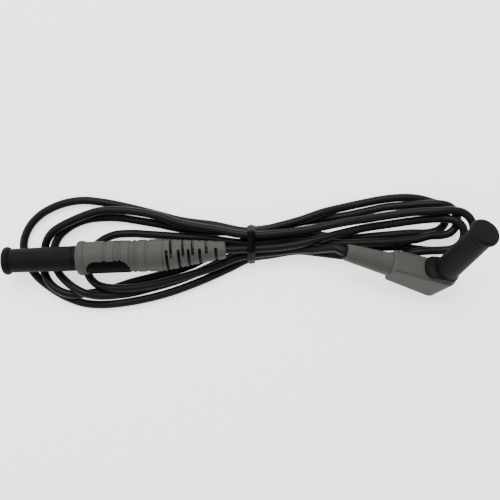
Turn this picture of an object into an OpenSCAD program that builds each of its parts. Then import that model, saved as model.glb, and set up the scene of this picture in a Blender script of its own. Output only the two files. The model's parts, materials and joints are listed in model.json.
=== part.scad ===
// Safety test lead: a 4 mm shrouded plug on each end of a limp insulated cable.
// One plug is straight with a ribbed handle and a slotted bend relief, the other
// leaves its head at a right angle. Each shroud wears a pull-off cap, and the
// cable lies in a loose flat hank held at its waist by a wire twist tie.
// Millimetres, +Z up, the hank lies on z = 0 and runs along X.

/* [Cable] */
// Outer diameter of the cable
cable_d = 4; // [4:0.1:4.4]
// Diameter of the inner insulation where the jacket is stripped
insulation_d = 3; // [2.6:0.1:3.4]
// Diameter of the bare conductor
conductor_d = 2; // [1.6:0.1:2.2]

/* [Plug contact] */
// Diameter of the plug pin
pin_d = 4; // [3.9:0.05:4.1]
// Length of the shroud beyond the plug body
shroud_len = 31; // [26:0.5:32]
// Outer diameter of the shroud
shroud_d = 10.4; // [10:0.1:10.6]
// Bore of the shroud
shroud_bore_d = 7.4; // [7:0.1:8]

/* [Cap] */
// Length of the pull-off cap
cap_len = 33; // [32:0.5:35]
// Diameter of the cap at its open end
cap_base_d = 12; // [11.8:0.1:12.6]
// Diameter of the cap just behind its flange
cap_tip_d = 11.4; // [11.2:0.1:11.8]
// Diameter of the flange on the closed end
cap_flange_d = 13.5; // [13:0.1:14]
// Length of the flange on the closed end
cap_flange_len = 3.2; // [3:0.1:4]
// Radial clearance of the cap on its shroud
cap_clearance = 0.05; // [0.02:0.01:0.09]

/* [Straight plug] */
// Length of the handle with its collar
handle_len = 41.5; // [40:0.5:45]
// Diameter of the handle
handle_d = 15.4; // [15:0.1:15.8]
// Diameter of the collar round the shroud
collar_d = 16.5; // [16:0.1:17]
// Length of the collar
collar_len = 4.2; // [4:0.1:5]
// Length of a colour insert
insert_len = 20.6; // [18:0.5:22]
// Width of a colour insert
insert_width = 10; // [9:0.2:10.6]
// Length of the slotted bend relief
relief_len = 29; // [28:0.5:31]
// Diameter of the bend relief where it meets the handle
relief_base_d = 15.2; // [14.6:0.1:15.4]
// Diameter of the bend relief at its cable end
relief_tip_d = 8.2; // [8:0.1:9]

/* [Right-angle plug] */
// Length of the head along the cable direction
head_len = 32; // [30:0.5:32.5]
// Width of the head
head_width = 13; // [12.8:0.1:13.6]
// Height of the head below the shroud
head_height = 15.4; // [14.4:0.1:16]
// Length of the tapered neck
neck_len = 22; // [21:0.5:24]
// Diameter of the neck at its cable end
neck_tip_d = 8.2; // [8:0.1:8.8]

/* [Twist tie] */
// Width of the tie ribbon
ribbon_width = 3.8; // [3:0.1:4.5]
// Diameter of the tie's wire
wire_d = 0.45; // [0.4:0.05:0.5]

/* [Hidden] */
$fn = 64;
e = 0.01;

// Where the collar's front face crosses the straight plug's axis, and the plug's yaw
straight_at = [-76.5, 1, 12.6];
straight_yaw = 2.2;
// Moves everything so that the frame's origin lies under the middle of the two plugs
origin_shift = [-0.33, -0.41, 0];
// Extra yaw of the bend relief, which bows towards the tie
relief_yaw = 2.6;
// Where the right-angle plug's shroud leaves its head, and the plug's roll, pitch, yaw
angle_at = [97.25, -5.2, 15.58];
angle_turn = [-33, 7.5, -15.5];
// Height of the head's long axis below the face that the shroud leaves
head_axis_drop = 6.8;

// A point on the bend relief's axis, this far from the handle
function relief_axis(t) = straight_at
    + (handle_len + t * cos(relief_yaw)) * [cos(straight_yaw), sin(straight_yaw), 0]
    + t * sin(relief_yaw) * [-sin(straight_yaw), cos(straight_yaw), 0];

// A point on the neck's axis, this far from the shroud's axis towards the cable
function neck_axis(t) = let (a = angle_turn[0], b = angle_turn[1], c = angle_turn[2]) angle_at
    - t * [cos(c) * cos(b), sin(c) * cos(b), -sin(b)]
    - head_axis_drop * [cos(c) * sin(b) * cos(a) + sin(c) * sin(a),
        sin(c) * sin(b) * cos(a) - cos(c) * sin(a), cos(b) * cos(a)];

// The cable's centreline, end to end, in nine passes through the tie
lane_tie_x = 6;
pass_1 = [
    [6, 5.5, 11.5], [18, 6.2, 11.6], [30, 8, 11.4], [40, 10.6, 10.5], [51.5, 13.5, 8],
    [62, 15.8, 6.3], [72, 17.3, 5], [84, 19, 5], [91, 19.8, 5.8], [96, 20.1, 7.4], [100.5, 20, 9.2],
    [104.3, 18.9, 10.6], [107.1, 16.2, 11.2], [108.1, 12.4, 10.9], [107.1, 8.6, 9.7],
    [104.3, 5.9, 8.2], [100, 4.8, 7.1]
];
pass_2 = [
    [93, 4.5, 6.5], [87, 4, 6.3], [80, 2.4, 4.4], [73, 1.8, 2.6], [64.5, 1.5, 2.2], [52, 2, 2.2],
    [40, 3.4, 2.2], [30, 4.5, 2.3], [16, 2.6, 2.8], [6, 1, 3], [-4.5, -4, 2.2],
    [-19, -10.5, 2.2], [-36.5, -16.8, 2.2], [-54, -20.7, 2.2], [-62, -21.7, 2.2], [-69, -22, 2.2],
    [-76, -21.3, 2.2], [-82.5, -19.3, 2.2], [-92.5, -13.8, 2.2], [-100.6, -6.8, 2.2],
    [-105, 1, 2.2], [-106, 8.5, 2.2]
];
pass_3 = [
    [-103.5, 15.8, 2.2], [-97.5, 22.4, 2.2], [-91, 26.1, 2.2], [-84, 28.4, 2.2], [-76, 29.3, 2.2],
    [-68.5, 28.6, 2.2], [-54, 25.8, 2.2], [-39, 22, 2.8], [-29, 19.4, 3.8], [-12, 17, 6.2],
    [3, 14.1, 7.5], [9, 14.1, 7.5], [18, 16.2, 7.4], [30, 19.5, 6.8], [41, 23.3, 5.5],
    [52, 26, 2.8], [62, 28.2, 2.2], [72, 30, 2.2], [82, 30.7, 2.2], [89, 30.1, 2.2],
    [94.5, 28.6, 2.2], [98.4, 27.2, 2.2], [101, 24.7, 2.2], [102, 21.1, 2.2], [101, 17.5, 2.2],
    [98.4, 14.9, 2.2]
];
pass_4 = [
    [94.5, 13.6, 2.2], [84.5, 13.2, 2.2], [69.5, 12, 2.2], [52, 10.8, 2.2], [40, 12.2, 2.2],
    [30, 13.5, 2.3], [16, 11.3, 2.8], [6, 10, 3], [-4, 7, 2.5], [-10, 4.4, 2.3], [-24, -2.8, 2.2],
    [-42.5, -8.3, 2.2], [-53, -11, 2.2], [-62.5, -14, 2.2], [-69, -15.6, 2.6], [-75, -16.4, 4],
    [-81, -16.8, 6], [-87, -15, 6.4], [-91.9, -11.4, 5.9], [-95, -6.5, 4.3], [-95.9, -1, 2.4]
];
pass_5 = [
    [-95.8, 4, 2.2], [-94.6, 9, 3.2], [-91.3, 13.4, 4.8], [-86, 16.8, 6.2], [-80.5, 19.4, 6.6],
    [-75, 21.7, 6.7], [-68, 23.8, 6.7], [-60, 24.3, 6.7], [-48, 23.2, 6.8], [-38, 21, 7.2],
    [-29, 18, 8.3], [-12, 14.9, 10.5], [6, 12, 11.5], [18, 12.8, 11.3], [30, 14.2, 10.9],
    [40, 16, 10.8], [51, 18.2, 10.6], [62, 19.9, 9.4], [72, 21.5, 8.3], [84, 23.1, 8.7],
    [96, 23.7, 10.8], [103.5, 23.8, 11], [107.5, 22.9, 10.8], [110.8, 20.6, 10.2],
    [112.9, 17.2, 9.2], [113.4, 13.4, 7.8], [112.2, 9.8, 6.3], [109.4, 7, 4.8], [105.5, 5.4, 3.3],
    [101, 4.9, 2.4]
];
pass_6 = [
    [94, 4.7, 2.2], [87, 5.4, 2.2], [80, 6.4, 2.2], [72, 6.4, 2.2], [62, 6.2, 2.2], [52, 6.2, 2.2],
    [40, 7.8, 2.2], [30, 9, 2.3], [16, 7, 2.8], [6, 5.5, 3], [-4, 1.4, 2.3], [-12.5, -2.6, 2.2],
    [-29, -9.6, 2.2], [-44, -14, 2.2], [-54, -16.4, 2.7], [-59, -17, 3.8], [-64, -17.4, 5.5],
    [-69.5, -17.2, 7.1], [-74.5, -15.9, 8.6], [-79.4, -13.5, 8.2], [-84, -10.3, 6.4],
    [-87.8, -6.8, 4.4], [-90.4, -2.5, 2.6]
];
pass_7 = [
    [-91.2, 2.5, 2.2], [-90.7, 7, 2.2], [-88.8, 11.2, 2.2], [-85.2, 14.8, 2.2], [-80.5, 17.8, 2.2],
    [-74.5, 19.9, 2.2], [-66.5, 20.8, 2.2], [-58, 20.6, 2.2], [-50, 19.4, 2.2], [-39, 17.5, 2.2],
    [-29, 15.4, 2.2], [-12, 13.9, 2.4], [6, 14.5, 3], [16, 15.8, 2.8], [30, 18.5, 2.3], [41, 20.2, 2.2],
    [52, 21.7, 2.3], [62, 23.8, 2.4], [72, 25.9, 2.8], [80, 26.6, 3.7], [88, 27.2, 5.2],
    [94, 27.4, 6.3], [98.5, 27.2, 6.7], [102.3, 26.1, 6.7], [105.1, 23.3, 6.7], [106.2, 19.5, 6.7],
    [105.1, 15.8, 6.7], [102.3, 13.1, 6.7], [98.5, 12.1, 6.6]
];
pass_8 = [
    [93, 11.8, 6.4], [87, 10.2, 6.4], [80, 9.4, 6.5], [72, 8.8, 6.6], [62, 8.4, 6.6], [52, 8, 6.6],
    [40, 8.8, 6.6], [30, 10.2, 6.6], [16, 8.9, 7.2], [6, 8, 7.5], [-5, 9, 6.6], [-14, 10.4, 5.2],
    [-29, 11.4, 4.4], [-44, 12.5, 3], [-53, 13, 2.2], [-62.5, 12, 2.2], [-69, 8.5, 2.2],
    [-73.3, 3.5, 2.2]
];
pass_9 = [
    [-75.2, -2, 2.2], [-74.6, -6, 2.6], [-72.5, -9.4, 3.6], [-69.3, -11.9, 5.1],
    [-65.3, -13.1, 6.7], [-60, -13.7, 6.9], [-53, -13.6, 7], [-43, -12.2, 6.8], [-28.5, -8.6, 6.6],
    [-12.5, -3.6, 6.6], [2, 1.9, 7.4], [10, 3.1, 7.5], [18, 4, 7.5], [30, 5.2, 7.8], [36, 5.1, 9.6],
    [41, 5.6, 12.8], [46, 5.8, 15.4]
];
cable_sides = 8;

// Where each pass crosses the tie, as [y, z], bottom row first
lanes = [
    [1, 3], [5.5, 3], [10, 3], [14.5, 3],
    [2.5, 7.5], [8, 7.5], [14, 7.5],
    [5.5, 11.5], [12, 11.5]
];
lane_gap = 0.25;
ribbon_thickness = 0.4;
ridge_width = 1.6;
ridge_thickness = 0.35;

// Cap
cap_bore_d = shroud_d + 2 * cap_clearance;
cap_end_wall = 1.4;
cap_rim_round = 1.5;

// Contact
pin_root_len = 9;
pin_core_d = pin_d - 1.2;
pin_tip_len = 2.5;
pin_recess = 2;
pin_tail_d = 4.4;
pin_tail_len = 12;
bucket_depth = 7;
spring_clearance = 0.05;
spring_leaf = 0.25;
spring_slots = 5;
spring_slot_w = 0.6;

// Straight plug
shroud_root_len = 9;
straight_cap_base = 2.3;
root_ring_d = 12;
root_ring_len = 2;
handle_bore_d = 7;
insert_depth = 0.8;
insert_corner = 4.2;
insert_front_angle = -57;
insert_middle = 15;
rib_groove_w = 1.1;
rib_groove_depth = 0.45;
rib_grooves = [13.7, 18.6, 20.9, 25.8, 28.3, 33.3];
relief_root_len = 5;
relief_root_d = 6.3;
cable_play = 0.2;
// Distance of each slot from the handle, nearest first, on alternate sides
relief_slots = [1.4, 3.5, 7, 9.1, 11.6, 13.6, 16.8, 20, 24.4];
relief_slot_w = 1.4;
// Where the stripped end begins, just clear of the cable's cut face
conductor_from = -handle_len + relief_root_len + 0.15;
relief_slot_tilt = 45;
relief_slot_span = 124;

// Right-angle plug
angle_cap_base = 3.6;
pad_back = 10;
pad_front = 6.4;
pad_width = 12.6;
pad_len = 1.2;
fillet_top = 3.2;
head_round = 1.6;
angle_root_len = 3.4;
head_near = 25;
angle_tail_d = 3.4;
sleeve_out = 0.8;
neck_root_d = 11.2;
terminal_z = -head_axis_drop;

// The whole centreline, from inside the bend relief to inside the neck
route = concat([relief_axis(-relief_root_len), relief_axis(relief_len)],
    pass_1, pass_2, pass_3, pass_4, pass_5, pass_6, pass_7, pass_8, pass_9,
    [neck_axis(head_near + neck_len + sleeve_out), neck_axis(head_near + neck_len - 12.5)]);

// ---- helpers ----

// The straight plug's own frame: +Z out along the pin, +X up, origin on the collar's face
module in_straight() {
    translate(straight_at + origin_shift) rotate([0, -90, straight_yaw]) children();
}

// The right-angle plug's own frame: +Z out along the pin, +X away from the cable
module in_angle() {
    translate(angle_at + origin_shift) rotate(angle_turn) children();
}

// The bend relief's own frame: +Z towards the cable, origin where it meets the handle
module in_relief() {
    in_straight() translate([0, 0, -handle_len]) rotate([180 + relief_yaw, 0, 0]) children();
}

// A tube standing on z = from
module tube(d_out, d_in, from, to) {
    translate([0, 0, from]) difference() {
        cylinder(d = d_out, h = to - from);
        translate([0, 0, -1]) cylinder(d = d_in, h = to - from + 2);
    }
}

// A round bar standing on z = from
module bar(d, from, to) {
    translate([0, 0, from]) cylinder(d = d, h = to - from);
}

// ---- parts that both plugs share ----

module cap_shape(base) {
    flange_from = cap_len - cap_flange_len;
    translate([0, 0, base]) rotate_extrude() difference() {
        union() {
            polygon([[0, 0], [cap_base_d / 2, 0], [cap_tip_d / 2, flange_from + 1],
                [0, flange_from + 1]]);
            translate([0, flange_from]) square([cap_flange_d / 2 - cap_rim_round, cap_flange_len]);
            translate([cap_flange_d / 2 - cap_rim_round, flange_from + cap_rim_round])
                square([cap_rim_round, cap_flange_len - 2 * cap_rim_round]);
            for (z = [flange_from + cap_rim_round, cap_len - cap_rim_round])
                translate([cap_flange_d / 2 - cap_rim_round, z]) circle(r = cap_rim_round);
        }
        translate([cap_tip_d / 2 + 0.1, flange_from - 0.25]) circle(r = 0.4, $fn = 24);
        translate([0, -1]) square([cap_bore_d / 2, cap_len - cap_end_wall + 1]);
        translate([-10, -1]) square([10, cap_len + 2]);
    }
}

module contact_pin_shape(tail_d) {
    tip = shroud_len - pin_recess;
    difference() {
        union() {
            bar(tail_d, -pin_tail_len, 0);
            bar(pin_d, -e, pin_root_len);
            bar(pin_core_d, pin_root_len - e, tip - pin_tip_len + e);
            translate([0, 0, tip - pin_tip_len]) rotate_extrude()
                polygon([[0, 0], [pin_d / 2, 0], [pin_d / 2, pin_tip_len - 0.8],
                    [pin_d / 2 - 0.8, pin_tip_len], [0, pin_tip_len]]);
        }
        bar(conductor_d + 0.1, -pin_tail_len - 1, -pin_tail_len + bucket_depth);
    }
}

// A bulged cage of leaves round the pin's core
module contact_spring_shape() {
    from = pin_root_len + 0.3;
    len = shroud_len - pin_recess - pin_tip_len - pin_root_len - 0.6;
    inner = pin_core_d / 2 + spring_clearance;
    bulge = pin_d / 2 + 0.15 - inner - spring_leaf;
    difference() {
        translate([0, 0, from]) rotate_extrude() polygon(concat(
            [for (i = [0:8]) [inner + bulge * pow(sin(i * 22.5), 2), i * len / 8]],
            [for (i = [8:-1:0]) [inner + spring_leaf + bulge * pow(sin(i * 22.5), 2), i * len / 8]]
        ));
        for (i = [0:spring_slots - 1]) rotate([0, 0, i * 360 / spring_slots])
            translate([0, -spring_slot_w / 2, from + 2]) cube([5, spring_slot_w, len - 4]);
    }
}

// ---- straight plug ----

module straight_cap() {
    color([0.10, 0.10, 0.11]) in_straight() cap_shape(straight_cap_base);
}

module straight_shroud() {
    color([0.07, 0.07, 0.08]) in_straight() difference() {
        union() {
            bar(shroud_d, -shroud_root_len, shroud_len);
            bar(root_ring_d, 0.1, root_ring_len);
        }
        bar(shroud_bore_d, 0, shroud_len + 1);
        bar(pin_tail_d, -shroud_root_len - 1, 0.1);
    }
}

module straight_contact_pin() {
    color([0.78, 0.72, 0.55]) in_straight() contact_pin_shape(pin_tail_d);
}

module straight_contact_spring() {
    color([0.85, 0.80, 0.65]) in_straight() contact_spring_shape();
}

// The prism that a colour insert is cut by, pushed out from the axis along +X
module insert_prism() {
    translate([0, 0, -insert_middle]) rotate([0, 90, 0]) linear_extrude(10) hull()
        for (x = [-1, 1]) for (y = [-1, 1])
            translate([x * (insert_len / 2 - insert_corner), y * (insert_width / 2 - insert_corner)])
                circle(r = insert_corner, $fn = 32);
}

module straight_insert(turn) {
    color([0.03, 0.03, 0.03]) in_straight() intersection() {
        rotate([0, 0, turn]) insert_prism();
        tube(handle_d, handle_d - 2 * insert_depth, -handle_len + 1, -collar_len - 0.5);
    }
}

module straight_insert_front() { straight_insert(insert_front_angle); }

module straight_insert_back() { straight_insert(insert_front_angle + 180); }

// Collar, handle and ring grooves as one turned outline, in [radius, distance from the face]
module handle_outline() {
    r = handle_d / 2;
    difference() {
        union() {
            translate([0, -handle_len]) square([r, handle_len - collar_len + 1]);
            translate([0, -collar_len]) square([collar_d / 2 - 1.5, collar_len]);
            translate([0, -collar_len + 1.5]) square([collar_d / 2, collar_len - 3]);
            for (z = [-collar_len + 1.5, -1.5]) translate([collar_d / 2 - 1.5, z]) circle(r = 1.5);
        }
        for (z = rib_grooves) translate([r + 0.55, -z]) circle(r = rib_groove_depth + 0.55);
        translate([r - 0.35, -handle_len - 1]) square([2, 1.8]);
        translate([-10, -handle_len - 1]) square([10, handle_len + 2]);
    }
}

module straight_handle() {
    color([0.45, 0.45, 0.42]) in_straight() difference() {
        rotate_extrude() handle_outline();
        bar(shroud_d, -shroud_root_len, 1);
        bar(handle_bore_d, -handle_len - 1, -shroud_root_len + 1);
        for (turn = [0, 180]) intersection() {
            rotate([0, 0, insert_front_angle + turn]) insert_prism();
            tube(collar_d + 2, handle_d - 2 * insert_depth, -handle_len + 1, -collar_len - 0.5);
        }
    }
}

// A slot that opens two opposite sides of the relief and leaves two bridges
module relief_slot(at, tilt) {
    rotate([0, 0, tilt]) for (s = [0, 180]) rotate([0, 0, s - relief_slot_span / 2])
        translate([0, 0, at - relief_slot_w / 2]) rotate_extrude(angle = relief_slot_span)
            square([10, relief_slot_w]);
}

module straight_bend_relief() {
    color([0.45, 0.45, 0.42]) difference() {
        union() {
            difference() {
                in_relief() rotate_extrude() polygon([[0, -0.6], [relief_base_d / 2, -0.6],
                    [relief_base_d / 2, 0.4], [relief_tip_d / 2, relief_len - 0.4],
                    [relief_tip_d / 2 - 0.4, relief_len], [0, relief_len]]);
                in_straight() bar(20, -handle_len - 0.05, -handle_len + 3);
            }
            in_relief() bar(relief_root_d, -relief_root_len, 1);
        }
        in_relief() {
            bar(cable_d + cable_play, -relief_root_len - 1, relief_len + 1);
            for (i = [0:len(relief_slots) - 1])
                relief_slot(relief_slots[i], (i % 2 == 0 ? 1 : -1) * relief_slot_tilt);
        }
    }
}

module straight_crimp_sleeve() {
    color([0.70, 0.70, 0.72]) in_straight()
        tube(pin_tail_d + 1.2, pin_tail_d, -pin_tail_len, -shroud_root_len);
}

module straight_conductor_end() {
    color([0.72, 0.45, 0.25]) in_straight()
        bar(conductor_d, conductor_from, -pin_tail_len + bucket_depth - 0.3);
}

module straight_inner_insulation() {
    color([0.90, 0.89, 0.85]) in_straight()
        tube(insulation_d, conductor_d, conductor_from, -pin_tail_len - 2);
}

// ---- right-angle plug ----

module angle_cap() {
    color([0.10, 0.10, 0.11]) in_angle() cap_shape(angle_cap_base);
}

// The shroud's moulded foot: a rounded pad with a hollow fillet up to the barrel
module shroud_foot() {
    intersection() {
        translate([(pad_front - pad_back) / 2, 0, 0]) linear_extrude(fillet_top) hull()
            for (x = [-1, 1]) for (y = [-1, 1])
                translate([x * ((pad_front + pad_back) / 2 - 5), y * (pad_width / 2 - 5)])
                    circle(r = 5, $fn = 32);
        union() {
            bar(30, 0, 0.6);
            rotate_extrude() polygon(concat([[0, 0]],
                [for (a = [0:15:90]) [
                    root_ring_d / 2 + 4.4 * (1 - sin(a)), 0.6 + (fillet_top - 0.6) * (1 - cos(a))]],
                [[0, fillet_top]]));
        }
    }
}

module angle_shroud() {
    color([0.07, 0.07, 0.08]) in_angle() difference() {
        union() {
            bar(shroud_d, -angle_root_len, shroud_len + 1);
            translate([0, 0, 0.05]) shroud_foot();
        }
        bar(shroud_bore_d, 0, shroud_len + 2);
        bar(angle_tail_d, -angle_root_len - 1, 0.1);
    }
}

module angle_contact_pin() {
    color([0.78, 0.72, 0.55]) in_angle() difference() {
        union() {
            bar(angle_tail_d, terminal_z + 1.5, e);
            bar(pin_d, 0, pin_root_len);
            bar(pin_core_d, pin_root_len - e, shroud_len - pin_recess - pin_tip_len + e);
            translate([0, 0, shroud_len - pin_recess - pin_tip_len]) rotate_extrude()
                polygon([[0, 0], [pin_d / 2, 0], [pin_d / 2, pin_tip_len - 0.8],
                    [pin_d / 2 - 0.8, pin_tip_len], [0, pin_tip_len]]);
        }
    }
}

module angle_contact_spring() {
    color([0.85, 0.80, 0.65]) in_angle() contact_spring_shape();
}

// A round slab whose rim is rounded, standing on z = from
module slab(r, from, to) {
    translate([0, 0, from]) rotate_extrude($fn = 48) union() {
        square([r - head_round, to - from]);
        translate([0, head_round]) square([r, to - from - 2 * head_round]);
        for (z = [head_round, to - from - head_round])
            translate([r - head_round, z]) intersection() {
                circle(r = head_round, $fn = 24);
                translate([0, -head_round]) square(2 * head_round);
            }
    }
}

// A rounded end under the shroud that leans back below, drawn in to the neck
module head_block() {
    hull() for (s = [-1, 1]) {
        translate([1.8, s * (head_width / 2 - 5), 0]) slab(5, -3.6, 0);
        translate([-1.4, s * (head_width / 2 - 4.5), 0]) slab(4.5, -head_height, 3.6 - head_height);
        for (z = [5.6 - head_round, head_round - 5.6])
            translate([head_round - head_near, s * (6 - head_round), z - head_axis_drop])
                sphere(r = head_round, $fn = 24);
    }
}

module angle_head() {
    color([0.45, 0.45, 0.42]) in_angle() difference() {
        head_block();
        bar(shroud_d, -angle_root_len, 1);
        bar(angle_tail_d + 0.2, terminal_z, 0);
        translate([0, 0, terminal_z]) rotate([0, -90, 0]) bar(6.4, 0, head_len);
        translate([0, 0, terminal_z]) sphere(d = 6.4);
    }
}

module angle_bend_relief() {
    near = head_near;
    color([0.45, 0.45, 0.42]) in_angle() translate([0, 0, terminal_z]) rotate([0, -90, 0])
        difference() {
            union() {
                translate([0, 0, near]) rotate_extrude() polygon([[0, 0.05],
                    [neck_root_d / 2, 0.05], [neck_tip_d / 2, neck_len - 0.4],
                    [neck_tip_d / 2 - 0.3, neck_len], [0, neck_len]]);
                bar(6.3, near - 4, near + 0.2);
            }
            bar(cable_d + cable_play, near - 5, near + neck_len + 1);
            bar(6.2, near + neck_len - 12, near + neck_len + 1);
        }
}

module angle_cable_sleeve() {
    tip = head_near + neck_len;
    color([0.06, 0.06, 0.06]) in_angle() translate([0, 0, terminal_z]) rotate([0, -90, 0])
        tube(6.2, cable_d + cable_play, tip - 12, tip + sleeve_out);
}

// A crimp barrel along the cable with a lug under the pin
module angle_terminal() {
    color([0.75, 0.75, 0.77]) in_angle() translate([0, 0, terminal_z]) difference() {
        union() {
            rotate([0, -90, 0]) bar(3.6, 3, 14);
            translate([-5, -2.2, -0.6]) cube([7.2, 4.4, 1.2]);
            bar(angle_tail_d, -0.6, 1.5);
        }
        rotate([0, -90, 0]) bar(conductor_d + 0.1, 8, 15);
    }
}

module angle_conductor_end() {
    color([0.72, 0.45, 0.25]) in_angle() translate([0, 0, terminal_z]) rotate([0, -90, 0])
        bar(conductor_d, 8.2, head_near + neck_len - 12.7);
}

module angle_inner_insulation() {
    color([0.90, 0.89, 0.85]) in_angle() translate([0, 0, terminal_z]) rotate([0, -90, 0])
        tube(insulation_d, conductor_d, 15.5, head_near + neck_len - 12.7);
}

// ---- cable and tie ----

function unit(v) = v / norm(v);

// The direction of the route at point i
function heading(i) = unit(route[min(i + 1, len(route) - 1)] - route[max(i - 1, 0)]);

// A level direction square to the route at point i
function sideways(i) = unit(cross([0, 0, 1], heading(i)));

// The route's ring i, a regular polygon square to it
function ring(i) = [
    for (k = [0:cable_sides - 1])
        let (a = (k + 0.5) * 360 / cable_sides, u = sideways(i), v = cross(heading(i), u))
            route[i] + cable_d / 2 * (cos(a) * u + sin(a) * v)
];

module cable() {
    n = cable_sides;
    last = len(route) - 1;
    color([0.05, 0.05, 0.06]) translate(origin_shift) polyhedron(
        points = [for (i = [0:last]) each ring(i)],
        faces = concat(
            [[for (k = [0:n - 1]) k]],
            [for (i = [0:last - 1]) for (k = [0:n - 1]) each [
                [i * n + k, (i + 1) * n + k, (i + 1) * n + (k + 1) % n],
                [i * n + k, (i + 1) * n + (k + 1) % n, i * n + (k + 1) % n]
            ]],
            [[for (k = [n - 1:-1:0]) last * n + k]]
        )
    );
}

// The bundle's outline at the tie, grown by a margin, in the tie's plane
module bundle_outline(margin) {
    hull() for (p = lanes) translate(p) circle(r = cable_d / 2 + margin, $fn = 32);
}

// A band round the bundle between two margins, centred on the tie
module bundle_band(inner, outer, width) {
    translate(origin_shift + [lane_tie_x - width / 2, 0, 0]) rotate([90, 0, 90]) linear_extrude(width)
        difference() {
            bundle_outline(outer);
            bundle_outline(inner);
        }
}

module tie_wire() {
    middle = lane_gap + (ribbon_thickness + ridge_thickness) / 2;
    bundle_band(middle - wire_d / 2, middle + wire_d / 2, wire_d);
}

module twist_tie_ribbon() {
    color([0.04, 0.04, 0.04]) difference() {
        union() {
            bundle_band(lane_gap, lane_gap + ribbon_thickness, ribbon_width);
            bundle_band(lane_gap + ribbon_thickness - e,
                lane_gap + ribbon_thickness + ridge_thickness, ridge_width);
        }
        tie_wire();
    }
}

module twist_tie_wire() { color([0.6, 0.6, 0.62]) tie_wire(); }

straight_cap();
straight_shroud();
straight_contact_pin();
straight_contact_spring();
straight_handle();
straight_insert_front();
straight_insert_back();
straight_bend_relief();
straight_crimp_sleeve();
straight_conductor_end();
straight_inner_insulation();
angle_cap();
angle_shroud();
angle_contact_pin();
angle_contact_spring();
angle_head();
angle_bend_relief();
angle_cable_sleeve();
angle_terminal();
angle_conductor_end();
angle_inner_insulation();
cable();
twist_tie_ribbon();
twist_tie_wire();
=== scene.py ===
"""A 4 mm safety test lead.

A straight plug and a right-angle plug, both capped, and their cable in a tied hank.
"""
import json
from math import cos, radians, sin, tau

import bpy
from mathutils import Euler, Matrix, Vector


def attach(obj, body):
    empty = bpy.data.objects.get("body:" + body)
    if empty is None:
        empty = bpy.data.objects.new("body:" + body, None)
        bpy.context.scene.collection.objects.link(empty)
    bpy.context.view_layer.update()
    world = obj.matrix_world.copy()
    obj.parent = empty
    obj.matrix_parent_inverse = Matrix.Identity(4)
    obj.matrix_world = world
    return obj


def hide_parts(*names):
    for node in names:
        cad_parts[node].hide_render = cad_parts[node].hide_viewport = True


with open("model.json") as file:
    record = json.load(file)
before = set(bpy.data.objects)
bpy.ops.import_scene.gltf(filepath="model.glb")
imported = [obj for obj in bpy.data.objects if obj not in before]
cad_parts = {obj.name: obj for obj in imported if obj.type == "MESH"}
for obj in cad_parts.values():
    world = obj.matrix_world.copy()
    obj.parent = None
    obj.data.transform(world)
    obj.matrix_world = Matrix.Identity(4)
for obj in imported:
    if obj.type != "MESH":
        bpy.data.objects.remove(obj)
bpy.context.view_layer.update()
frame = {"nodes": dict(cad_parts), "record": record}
MM = 0.001

# ---- the CAD's placing values, in millimetres ----
ORIGIN_SHIFT = Vector((-0.33, -0.41, 0))
STRAIGHT_AT = Vector((-76.5, 1, 12.6)) + ORIGIN_SHIFT
STRAIGHT_YAW = 2.2
RELIEF_YAW = 2.6
HANDLE_LEN = 41.5
RELIEF_LEN = 29
ANGLE_AT = Vector((97.25, -5.2, 15.58)) + ORIGIN_SHIFT
ANGLE_TURN = (-33, 7.5, -15.5)
HEAD_AXIS_DROP = 6.8
NECK_END = 47.8
CABLE_D = 4
TIE_X = 6
TIE_LANES = [
    (1, 3), (5.5, 3), (10, 3), (14.5, 3), (2.5, 7.5), (8, 7.5), (14, 7.5), (5.5, 11.5), (12, 11.5),
]
TIE_GAP = 0.25
TIE_WIDTH = 3.8
TIE_THICKNESS = 0.4
RIDGE_HEIGHT = 0.35
RIDGE_WIDTH = 1.6

straight_turn = Euler((0, radians(-90), radians(STRAIGHT_YAW))).to_matrix()
relief_turn = straight_turn @ Euler((radians(180 + RELIEF_YAW), 0, 0)).to_matrix()
angle_turn = Euler([radians(a) for a in ANGLE_TURN]).to_matrix()


def relief_axis(t):
    """A point on the bend relief's axis, t millimetres from the handle."""
    return STRAIGHT_AT + straight_turn @ Vector((0, 0, -HANDLE_LEN)) + relief_turn @ Vector((0, 0, t))


def neck_axis(t):
    """A point on the right-angle plug's neck axis, t millimetres from the shroud's axis."""
    return ANGLE_AT + angle_turn @ Vector((-t, 0, -HEAD_AXIS_DROP))


# ---- camera ----
CAMERA_AT = Vector((5.4, 4.9, 330))
LENS = 47.9
SENSOR_WIDTH = 36
cam_data = bpy.data.cameras.new("camera")
cam_data.lens = LENS
cam_data.sensor_width = SENSOR_WIDTH
camera = bpy.data.objects.new("camera", cam_data)
camera.location = (CAMERA_AT + ORIGIN_SHIFT) * MM
bpy.context.collection.objects.link(camera)
bpy.context.scene.camera = camera

# ---- the cable ----
START_IN_RELIEF = 6
END_IN_NECK = 13
TUBE_BEVEL = 5
SEGMENTS_PER_KNOT = 6
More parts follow.
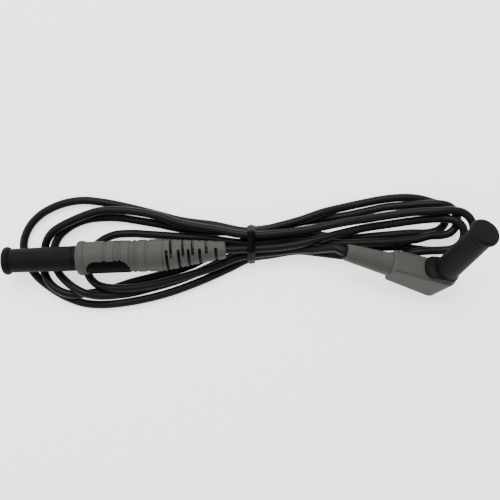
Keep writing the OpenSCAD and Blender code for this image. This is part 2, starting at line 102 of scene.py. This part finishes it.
# Points along the cable, in millimetres: the same list as in part.scad
ROUTE = [
    # pass 1
    (6, 5.5, 11.5), (18, 6.2, 11.6), (30, 8, 11.4), (40, 10.6, 10.5), (51.5, 13.5, 8),
    (62, 15.8, 6.3), (72, 17.3, 5), (84, 19, 5), (91, 19.8, 5.8), (96, 20.1, 7.4), (100.5, 20, 9.2),
    (104.3, 18.9, 10.6), (107.1, 16.2, 11.2), (108.1, 12.4, 10.9), (107.1, 8.6, 9.7),
    (104.3, 5.9, 8.2), (100, 4.8, 7.1),
    # pass 2
    (93, 4.5, 6.5), (87, 4, 6.3), (80, 2.4, 4.4), (73, 1.8, 2.6), (64.5, 1.5, 2.2), (52, 2, 2.2),
    (40, 3.4, 2.2), (30, 4.5, 2.3), (16, 2.6, 2.8), (6, 1, 3), (-4.5, -4, 2.2),
    (-19, -10.5, 2.2), (-36.5, -16.8, 2.2), (-54, -20.7, 2.2), (-62, -21.7, 2.2), (-69, -22, 2.2),
    (-76, -21.3, 2.2), (-82.5, -19.3, 2.2), (-92.5, -13.8, 2.2), (-100.6, -6.8, 2.2),
    (-105, 1, 2.2), (-106, 8.5, 2.2),
    # pass 3
    (-103.5, 15.8, 2.2), (-97.5, 22.4, 2.2), (-91, 26.1, 2.2), (-84, 28.4, 2.2), (-76, 29.3, 2.2),
    (-68.5, 28.6, 2.2), (-54, 25.8, 2.2), (-39, 22, 2.8), (-29, 19.4, 3.8), (-12, 17, 6.2),
    (3, 14.1, 7.5), (9, 14.1, 7.5), (18, 16.2, 7.4), (30, 19.5, 6.8), (41, 23.3, 5.5),
    (52, 26, 2.8), (62, 28.2, 2.2), (72, 30, 2.2), (82, 30.7, 2.2), (89, 30.1, 2.2),
    (94.5, 28.6, 2.2), (98.4, 27.2, 2.2), (101, 24.7, 2.2), (102, 21.1, 2.2), (101, 17.5, 2.2),
    (98.4, 14.9, 2.2),
    # pass 4
    (94.5, 13.6, 2.2), (84.5, 13.2, 2.2), (69.5, 12, 2.2), (52, 10.8, 2.2), (40, 12.2, 2.2),
    (30, 13.5, 2.3), (16, 11.3, 2.8), (6, 10, 3), (-4, 7, 2.5), (-10, 4.4, 2.3), (-24, -2.8, 2.2),
    (-42.5, -8.3, 2.2), (-53, -11, 2.2), (-62.5, -14, 2.2), (-69, -15.6, 2.6), (-75, -16.4, 4),
    (-81, -16.8, 6), (-87, -15, 6.4), (-91.9, -11.4, 5.9), (-95, -6.5, 4.3), (-95.9, -1, 2.4),
    # pass 5
    (-95.8, 4, 2.2), (-94.6, 9, 3.2), (-91.3, 13.4, 4.8), (-86, 16.8, 6.2), (-80.5, 19.4, 6.6),
    (-75, 21.7, 6.7), (-68, 23.8, 6.7), (-60, 24.3, 6.7), (-48, 23.2, 6.8), (-38, 21, 7.2),
    (-29, 18, 8.3), (-12, 14.9, 10.5), (6, 12, 11.5), (18, 12.8, 11.3), (30, 14.2, 10.9),
    (40, 16, 10.8), (51, 18.2, 10.6), (62, 19.9, 9.4), (72, 21.5, 8.3), (84, 23.1, 8.7),
    (96, 23.7, 10.8), (103.5, 23.8, 11), (107.5, 22.9, 10.8), (110.8, 20.6, 10.2),
    (112.9, 17.2, 9.2), (113.4, 13.4, 7.8), (112.2, 9.8, 6.3), (109.4, 7, 4.8), (105.5, 5.4, 3.3),
    (101, 4.9, 2.4),
    # pass 6
    (94, 4.7, 2.2), (87, 5.4, 2.2), (80, 6.4, 2.2), (72, 6.4, 2.2), (62, 6.2, 2.2), (52, 6.2, 2.2),
    (40, 7.8, 2.2), (30, 9, 2.3), (16, 7, 2.8), (6, 5.5, 3), (-4, 1.4, 2.3), (-12.5, -2.6, 2.2),
    (-29, -9.6, 2.2), (-44, -14, 2.2), (-54, -16.4, 2.7), (-59, -17, 3.8), (-64, -17.4, 5.5),
    (-69.5, -17.2, 7.1), (-74.5, -15.9, 8.6), (-79.4, -13.5, 8.2), (-84, -10.3, 6.4),
    (-87.8, -6.8, 4.4), (-90.4, -2.5, 2.6),
    # pass 7
    (-91.2, 2.5, 2.2), (-90.7, 7, 2.2), (-88.8, 11.2, 2.2), (-85.2, 14.8, 2.2), (-80.5, 17.8, 2.2),
    (-74.5, 19.9, 2.2), (-66.5, 20.8, 2.2), (-58, 20.6, 2.2), (-50, 19.4, 2.2), (-39, 17.5, 2.2),
    (-29, 15.4, 2.2), (-12, 13.9, 2.4), (6, 14.5, 3), (16, 15.8, 2.8), (30, 18.5, 2.3), (41, 20.2, 2.2),
    (52, 21.7, 2.3), (62, 23.8, 2.4), (72, 25.9, 2.8), (80, 26.6, 3.7), (88, 27.2, 5.2),
    (94, 27.4, 6.3), (98.5, 27.2, 6.7), (102.3, 26.1, 6.7), (105.1, 23.3, 6.7), (106.2, 19.5, 6.7),
    (105.1, 15.8, 6.7), (102.3, 13.1, 6.7), (98.5, 12.1, 6.6),
    # pass 8
    (93, 11.8, 6.4), (87, 10.2, 6.4), (80, 9.4, 6.5), (72, 8.8, 6.6), (62, 8.4, 6.6), (52, 8, 6.6),
    (40, 8.8, 6.6), (30, 10.2, 6.6), (16, 8.9, 7.2), (6, 8, 7.5), (-5, 9, 6.6), (-14, 10.4, 5.2),
    (-29, 11.4, 4.4), (-44, 12.5, 3), (-53, 13, 2.2), (-62.5, 12, 2.2), (-69, 8.5, 2.2),
    (-73.3, 3.5, 2.2),
    # pass 9
    (-75.2, -2, 2.2), (-74.6, -6, 2.6), (-72.5, -9.4, 3.6), (-69.3, -11.9, 5.1),
    (-65.3, -13.1, 6.7), (-60, -13.7, 6.9), (-53, -13.6, 7), (-43, -12.2, 6.8), (-28.5, -8.6, 6.6),
    (-12.5, -3.6, 6.6), (2, 1.9, 7.4), (10, 3.1, 7.5), (18, 4, 7.5), (30, 5.2, 7.8), (36, 5.1, 9.6),
    (41, 5.6, 12.8), (46, 5.8, 15.4),
]


def smooth_curve(name, points, radius, sides):
    """A round tube along one open Bezier spline through points, in metres."""
    data = bpy.data.curves.new(name, "CURVE")
    data.dimensions = "3D"
    # The knots hold the radius and the bevel is 1, so that the curve's bounding box is true
    data.bevel_depth = 1
    data.bevel_resolution = sides
    data.resolution_u = SEGMENTS_PER_KNOT
    data.use_fill_caps = True
    spline = data.splines.new("BEZIER")
    spline.bezier_points.add(len(points) - 1)
    last = len(points) - 1
    for i, knot in enumerate(spline.bezier_points):
        before = points[i] - points[max(i - 1, 0)]
        after = points[min(i + 1, last)] - points[i]
        if i == 0:
            before = after
        if i == last:
            after = before
        a, b = before.length, after.length
        slope = (before / a * b + after / b * a) / (a + b)
        knot.co = points[i]
        knot.radius = radius
        knot.handle_left_type = knot.handle_right_type = "FREE"
        knot.handle_left = points[i] - slope * a / 3
        knot.handle_right = points[i] + slope * b / 3
    obj = bpy.data.objects.new(name, data)
    bpy.context.collection.objects.link(obj)
    return obj


route = [relief_axis(START_IN_RELIEF), relief_axis(RELIEF_LEN)]
route += [Vector(p) + ORIGIN_SHIFT for p in ROUTE]
route += [neck_axis(NECK_END), neck_axis(NECK_END - END_IN_NECK)]
route = [p * MM for p in route]
cable = smooth_curve("cable_run", route, CABLE_D / 2 * MM, TUBE_BEVEL)
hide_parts("cable")
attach(cable, "lead")


# ---- the twist tie ----
OUTLINE_STEPS = 180
CIRCLE_STEPS = 48
WING_EDGE = 0.2


def hull_2d(points):
    """The convex hull of 2-D points, anticlockwise."""
    points = sorted(set(points))

    def chain(seq):
        out = []
        for p in seq:
            while len(out) > 1 and (
                (out[-1][0] - out[-2][0]) * (p[1] - out[-2][1])
                - (out[-1][1] - out[-2][1]) * (p[0] - out[-2][0])
            ) <= 0:
                out.pop()
            out.append(p)
        return out[:-1]

    return chain(points) + chain(points[::-1])


def bundle_outline(margin, steps):
    """The bundle's outline at the tie, grown by margin, in even steps, with its outward normals."""
    r = CABLE_D / 2 + margin
    angles = [k * tau / CIRCLE_STEPS for k in range(CIRCLE_STEPS)]
    cloud = [(y + r * cos(a), z + r * sin(a)) for y, z in TIE_LANES for a in angles]
    hull = [Vector(p) for p in hull_2d(cloud)]
    lengths = [(hull[(i + 1) % len(hull)] - hull[i]).length for i in range(len(hull))]
    total = sum(lengths)
    out, i, walked = [], 0, 0
    for k in range(steps):
        goal = k * total / steps
        while walked + lengths[i] < goal:
            walked += lengths[i]
            i += 1
        out.append(hull[i].lerp(hull[(i + 1) % len(hull)], (goal - walked) / lengths[i]))
    normals = []
    for k in range(steps):
        along = (out[(k + 1) % steps] - out[k - 1]).normalized()
        normals.append(Vector((along.y, -along.x)))
    return out, normals


def mesh_object(name, verts, faces):
    """A smooth-shaded mesh linked into the scene."""
    data = bpy.data.meshes.new(name)
    data.from_pydata([tuple(v) for v in verts], [], faces)
    data.update()
    obj = bpy.data.objects.new(name, data)
    bpy.context.collection.objects.link(obj)
    for face in data.polygons:
        face.use_smooth = True
    return obj


# The ribbon's section, as (across its width, above the bundle):
# two thin wings and a ridge over the wire
half, ridge = TIE_WIDTH / 2, RIDGE_WIDTH / 2
section = [(-half, 0), (half, 0), (half, WING_EDGE), (half - WING_EDGE, TIE_THICKNESS)]
section += [
    (ridge * cos(radians(d)), TIE_THICKNESS + RIDGE_HEIGHT * sin(radians(d))) for d in range(0, 181, 20)
]
section += [(WING_EDGE - half, TIE_THICKNESS), (-half, WING_EDGE)]
outline, normals = bundle_outline(TIE_GAP, OUTLINE_STEPS)
tie_verts, tie_faces = [], []
for p, n in zip(outline, normals):
    for across, up in section:
        spot = p + n * up
        tie_verts.append((Vector((TIE_X + across, spot.x, spot.y)) + ORIGIN_SHIFT) * MM)
count = len(section)
for k in range(len(outline)):
    for j in range(count):
        a, b = k * count, (k + 1) % len(outline) * count
        tie_faces.append((a + j, a + (j + 1) % count, b + (j + 1) % count, b + j))
tie = mesh_object("twist_tie_band", tie_verts, tie_faces)
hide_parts("twist_tie_ribbon")
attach(tie, "lead")


# ---- materials ----
GRAIN_HEIGHT = 0.0002
MOTTLE_SCALE = 120


def material(
    name, colour, rough, grain=0.0, grain_scale=900.0, metal=0.0, specular=0.5, mottle=0.0, glow=0.0
):
    """A plain surface with an optional fine moulded grain and a faint variation of its colour."""
    mat = bpy.data.materials.new(name)
    mat.use_nodes = True
    nodes, links = mat.node_tree.nodes, mat.node_tree.links
    surface = nodes["Principled BSDF"]
    surface.inputs["Base Color"].default_value = (*colour, 1)
    surface.inputs["Roughness"].default_value = rough
    surface.inputs["Metallic"].default_value = metal
    surface.inputs["Specular IOR Level"].default_value = specular
    if glow:
        surface.inputs["Emission Color"].default_value = (1, 1, 1, 1)
        surface.inputs["Emission Strength"].default_value = glow
    if grain or mottle:
        place = nodes.new("ShaderNodeTexCoord")
    if grain:
        noise = nodes.new("ShaderNodeTexNoise")
        noise.inputs["Scale"].default_value = grain_scale
        noise.inputs["Detail"].default_value = 3
        bump = nodes.new("ShaderNodeBump")
        bump.inputs["Strength"].default_value = grain
        bump.inputs["Distance"].default_value = GRAIN_HEIGHT
        links.new(place.outputs["Object"], noise.inputs["Vector"])
        links.new(noise.outputs["Fac"], bump.inputs["Height"])
        links.new(bump.outputs["Normal"], surface.inputs["Normal"])
    if mottle:
        cloud = nodes.new("ShaderNodeTexNoise")
        cloud.inputs["Scale"].default_value = MOTTLE_SCALE
        ramp = nodes.new("ShaderNodeValToRGB")
        ramp.color_ramp.elements[0].position = 0.3
        ramp.color_ramp.elements[1].position = 0.7
        ramp.color_ramp.elements[0].color = (*[c * (1 - mottle) for c in colour], 1)
        ramp.color_ramp.elements[1].color = (*[c * (1 + mottle) for c in colour], 1)
        links.new(place.outputs["Object"], cloud.inputs["Vector"])
        links.new(cloud.outputs["Fac"], ramp.inputs["Fac"])
        links.new(ramp.outputs["Color"], surface.inputs["Base Color"])
    return mat


grip = material("grip_plastic", (0.052, 0.052, 0.047), 0.55, grain=0.3, specular=0.16, mottle=0.06)
cap = material("cap_plastic", (0.0055, 0.0055, 0.006), 0.6, grain=0.2, specular=0.07, mottle=0.1)
shroud = material("shroud_plastic", (0.004, 0.004, 0.004), 0.5, specular=0.08)
insert = material("insert_plastic", (0.002, 0.002, 0.002), 0.5, grain=0.15, specular=0.03)
rubber = material("cable_rubber", (0.0058, 0.006, 0.0062), 0.42, grain=0.12, grain_scale=1500, specular=0.1)
tie_skin = material("tie_plastic", (0.002, 0.002, 0.002), 0.45, specular=0.05)
brass = material("plated_brass", (0.78, 0.70, 0.50), 0.22, metal=1)
spring = material("spring_brass", (0.82, 0.76, 0.60), 0.3, metal=1)
copper = material("copper", (0.72, 0.36, 0.2), 0.35, metal=1)
inner = material("inner_insulation", (0.8, 0.79, 0.75), 0.5)
tinned = material("tinned_metal", (0.62, 0.62, 0.64), 0.35, metal=1)
tie_steel = material("tie_wire", (0.55, 0.55, 0.57), 0.35, metal=1)

BY_SLOT = {
    "grip_plastic": grip, "cap_plastic": cap, "shroud_plastic": shroud, "insert_plastic": insert,
    "cable_rubber": rubber, "tie_plastic": tie_skin, "plated_brass": brass, "spring_brass": spring,
    "copper": copper, "inner_insulation": inner, "tinned_metal": tinned, "tie_wire": tie_steel,
}
for part in frame["record"]["subparts"]:
    obj = frame["nodes"][part["node"]]
    look = BY_SLOT[part["material_slot"]]
    if not obj.material_slots:
        obj.data.materials.append(look)
    for place in obj.material_slots:
        place.material = look
cable.data.materials.append(rubber)
tie.data.materials.append(tie_skin)

# ---- floor and light ----
FLOOR_HALF = 3
floor = mesh_object(
    "floor",
    [(-FLOOR_HALF, -FLOOR_HALF, 0), (FLOOR_HALF, -FLOOR_HALF, 0),
     (FLOOR_HALF, FLOOR_HALF, 0), (-FLOOR_HALF, FLOOR_HALF, 0)],
    [(0, 1, 2, 3)],
)
floor.data.materials.append(material("floor_paper", (0.95, 0.95, 0.95), 0.9, specular=0, glow=1.3))

world = bpy.data.worlds.new("studio")
world.use_nodes = True
world.node_tree.nodes["Background"].inputs["Color"].default_value = (1, 1, 1, 1)
world.node_tree.nodes["Background"].inputs["Strength"].default_value = 0.8
bpy.context.scene.world = world


def softbox(name, place, aim, size, power):
    """A square area light at place, facing aim."""
    data = bpy.data.lights.new(name, "AREA")
    data.size = size
    data.energy = power
    lamp = bpy.data.objects.new(name, data)
    lamp.location = place
    lamp.rotation_euler = (Vector(aim) - Vector(place)).to_track_quat("-Z", "Y").to_euler()
    bpy.context.collection.objects.link(lamp)


softbox("key", (-0.05, 0.55, 0.75), (0, 0, 0), 0.5, 9)
softbox("side", (-0.7, 0.1, 0.5), (0, 0, 0), 0.4, 2)

bpy.context.view_layer.update()
